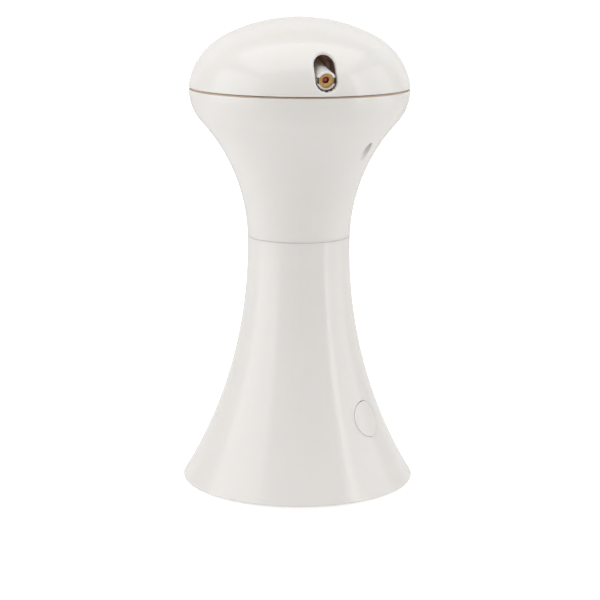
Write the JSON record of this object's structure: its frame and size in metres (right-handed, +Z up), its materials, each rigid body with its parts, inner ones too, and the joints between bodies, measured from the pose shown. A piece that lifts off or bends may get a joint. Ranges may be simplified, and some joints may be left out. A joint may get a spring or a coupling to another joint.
{
  "type": "automatic cat laser toy",
  "caption": "Waisted white tower with a turning dome on top, two tilting laser modules behind tall slots and a round play button on the flared base.",
  "frame": {"origin": "centre of the footprint on the floor, on the tower's axis", "axes": "+Z up along the tower's axis; the play button and the front screw shaft face -Y"},
  "size_m": [0.1082, 0.1082, 0.2168],
  "materials": {
    "shell_white": "gloss moulded ABS",
    "inner_white": "plain moulded ABS",
    "holder_white": "moulded ABS",
    "foot_rubber": "matt",
    "cell_jacket": "shrink sleeve, plain",
    "plated_steel": "zinc or nickel plated",
    "black_plastic": "matt",
    "circuit_board": "green solder mask",
    "gear_acetal": "natural acetal",
    "bush_bronze": "sintered",
    "washer_ptfe": "plain",
    "contact_copper": "plated copper",
    "module_brass": "turned",
    "lens_red": "clear red"
  },
  "bodies": {
    "base": {"base_shell": "shell_white", "neck_housing": "shell_white", "bottom_cover": "inner_white", "deck_plate": "inner_white", "gear_frame": "inner_white", "rubber_feet": "foot_rubber", "aa_cells": "cell_jacket", "leaf_contacts": "plated_steel", "plate_contacts": "plated_steel", "cover_screws": "plated_steel", "neck_screws": "plated_steel", "button_screws": "plated_steel", "board_screws": "plated_steel", "housing_screws": "plated_steel", "frame_screws": "plated_steel", "gear_axles": "plated_steel", "yaw_motor": "plated_steel", "tact_switch": "black_plastic", "board_parts": "black_plastic", "button_board": "circuit_board", "main_board": "circuit_board", "slip_ring_board": "circuit_board", "bearing_bush": "bush_bronze", "thrust_washer": "washer_ptfe", "slip_ring_tracks": "contact_copper"},
    "battery_door": {"battery_door": "inner_white"},
    "play_button": {"play_button": "shell_white", "switch_plunger": "black_plastic"},
    "head": {"dome_cover": "shell_white", "turret_plate": "inner_white", "dome_screws": "plated_steel", "brush_block": "black_plastic", "brush_contacts": "contact_copper", "trunnion_caps": "inner_white", "output_gear": "gear_acetal", "retaining_ring": "plated_steel", "tilt_motors": "plated_steel"},
    "second_gear": {"second_gear": "gear_acetal"},
    "first_gear": {"first_gear": "gear_acetal"},
    "motor_pinion": {"motor_pinion": "gear_acetal"},
    "laser_1": {"laser_holder_1": "holder_white", "holder_clamp_1": "holder_white", "laser_barrel_1": "module_brass", "laser_lens_1": "lens_red", "laser_board_1": "circuit_board"},
    "laser_2": {"laser_holder_2": "holder_white", "holder_clamp_2": "holder_white", "laser_barrel_2": "module_brass", "laser_lens_2": "lens_red", "laser_board_2": "circuit_board"},
    "tilt_pinion_1": {"tilt_pinion_1": "gear_acetal"},
    "tilt_pinion_2": {"tilt_pinion_2": "gear_acetal"}
  },
  "joints": [
    {"name": "battery_door_hinge", "type": "hinge", "parent": "base", "child": "battery_door", "pos_m": [0, 0.0255, 0.0027], "axis": [1, 0, 0], "range_deg": [0, 75]},
    {"name": "button_press", "type": "slide", "parent": "base", "child": "play_button", "axis": [0, 0.9307, -0.3658], "range_m": [0, 0.0008], "stiffness_N_per_m": 600, "springref_m": -0.001},
    {"name": "head_turn", "type": "hinge", "parent": "base", "child": "head", "pos_m": [0, 0, 0.18], "axis": [0, 0, 1], "continuous": true},
    {"name": "second_gear_spin", "type": "hinge", "parent": "base", "child": "second_gear", "pos_m": [0.024, 0, 0.172], "axis": [0, 0, 1], "continuous": true},
    {"name": "first_gear_spin", "type": "hinge", "parent": "base", "child": "first_gear", "pos_m": [0.02064, 0.01256, 0.17], "axis": [0, 0, 1], "continuous": true},
    {"name": "motor_spin", "type": "hinge", "parent": "base", "child": "motor_pinion", "pos_m": [0.00996, 0.00606, 0.169], "axis": [0, 0, 1], "continuous": true},
    {"name": "laser_1_tilt", "type": "hinge", "parent": "head", "child": "laser_1", "pos_m": [-0.01824, -0.01991, 0.19548], "axis": [-0.7373, 0.6756, 0], "range_deg": [0, 14]},
    {"name": "laser_2_tilt", "type": "hinge", "parent": "head", "child": "laser_2", "pos_m": [0.01824, 0.01991, 0.19548], "axis": [0.7373, -0.6756, 0], "range_deg": [0, 14]},
    {"name": "tilt_motor_1_spin", "type": "hinge", "parent": "head", "child": "tilt_pinion_1", "pos_m": [-0.00405, -0.00442, 0.19548], "axis": [-0.7373, 0.6756, 0], "range_deg": [-84, 0]},
    {"name": "tilt_motor_2_spin", "type": "hinge", "parent": "head", "child": "tilt_pinion_2", "pos_m": [0.00405, 0.00442, 0.19548], "axis": [0.7373, -0.6756, 0], "range_deg": [-84, 0]}
  ],
  "couplings": [
    {"joint": "second_gear_spin", "follows": "head_turn", "ratio": -4},
    {"joint": "first_gear_spin", "follows": "head_turn", "ratio": 13.333},
    {"joint": "motor_spin", "follows": "head_turn", "ratio": -53.333},
    {"joint": "tilt_motor_1_spin", "follows": "laser_1_tilt", "ratio": -6},
    {"joint": "tilt_motor_2_spin", "follows": "laser_2_tilt", "ratio": -6}
  ]
}
